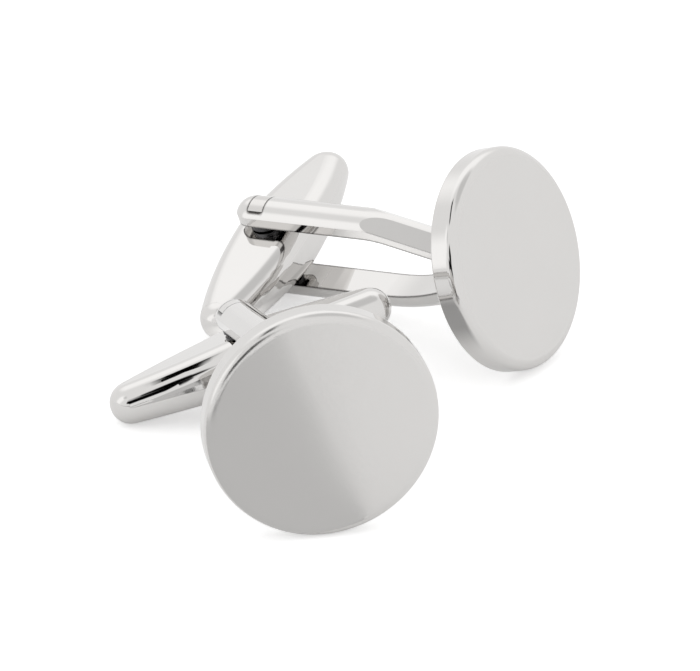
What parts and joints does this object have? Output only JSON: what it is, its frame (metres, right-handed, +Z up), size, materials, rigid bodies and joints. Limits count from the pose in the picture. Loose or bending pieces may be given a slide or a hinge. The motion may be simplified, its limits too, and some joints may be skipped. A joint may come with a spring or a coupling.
{
  "type": "cufflink",
  "caption": "Plain round metal cufflinks lying loose side by side, each with a forked stem and a swivelling boat-shaped toggle.",
  "frame": {"origin": "middle of the two links together, on the surface that they lie on", "axes": "+Z up from the surface, -Y towards the viewer of the picture, +X to the viewer's right"},
  "size_m": [0.0332, 0.0512, 0.016],
  "materials": {
    "disc_metal": "polished rim, satin face",
    "stem_metal": "polished",
    "toggle_metal": "polished",
    "pin_metal": "polished flush with the arm",
    "solder_metal": "dull silver solder",
    "cam_metal": "turned and filed",
    "washer_metal": "barrelled",
    "spring_metal": "tempered spring strip"
  },
  "bodies": {
    "rear_link": {"rear_disc": "disc_metal", "rear_solder": "solder_metal", "rear_fork": "stem_metal", "rear_pin_upper": "pin_metal", "rear_pin_lower": "pin_metal", "rear_cam": "cam_metal", "rear_washer_upper": "washer_metal", "rear_washer_lower": "washer_metal"},
    "rear_toggle": {"rear_toggle_shell": "toggle_metal", "rear_toggle_cover": "toggle_metal", "rear_click_spring": "spring_metal"},
    "front_link": {"front_disc": "disc_metal", "front_solder": "solder_metal", "front_fork": "stem_metal", "front_pin_upper": "pin_metal", "front_pin_lower": "pin_metal", "front_cam": "cam_metal", "front_washer_upper": "washer_metal", "front_washer_lower": "washer_metal"},
    "front_toggle": {"front_toggle_shell": "toggle_metal", "front_toggle_cover": "toggle_metal", "front_click_spring": "spring_metal"}
  },
  "joints": [
    {"name": "rear_toggle_pivot", "type": "hinge", "parent": "rear_link", "child": "rear_toggle", "pos_m": [-0.00531, 0.0163, 0.004], "axis": [-0.2728, -0.1736, 0.9463], "range_deg": [-96, 84], "deforming": ["rear_click_spring"]},
    {"name": "front_link_lift", "type": "slide", "parent": "rear_link", "child": "front_link", "axis": [0, 0, 1], "range_m": [0, 0.03]},
    {"name": "front_toggle_pivot", "type": "hinge", "parent": "front_link", "child": "front_toggle", "pos_m": [-0.00681, -0.0035, 0.00405], "axis": [0.33, -0.1628, -0.9298], "range_deg": [-92, 88], "deforming": ["front_click_spring"]}
  ]
}
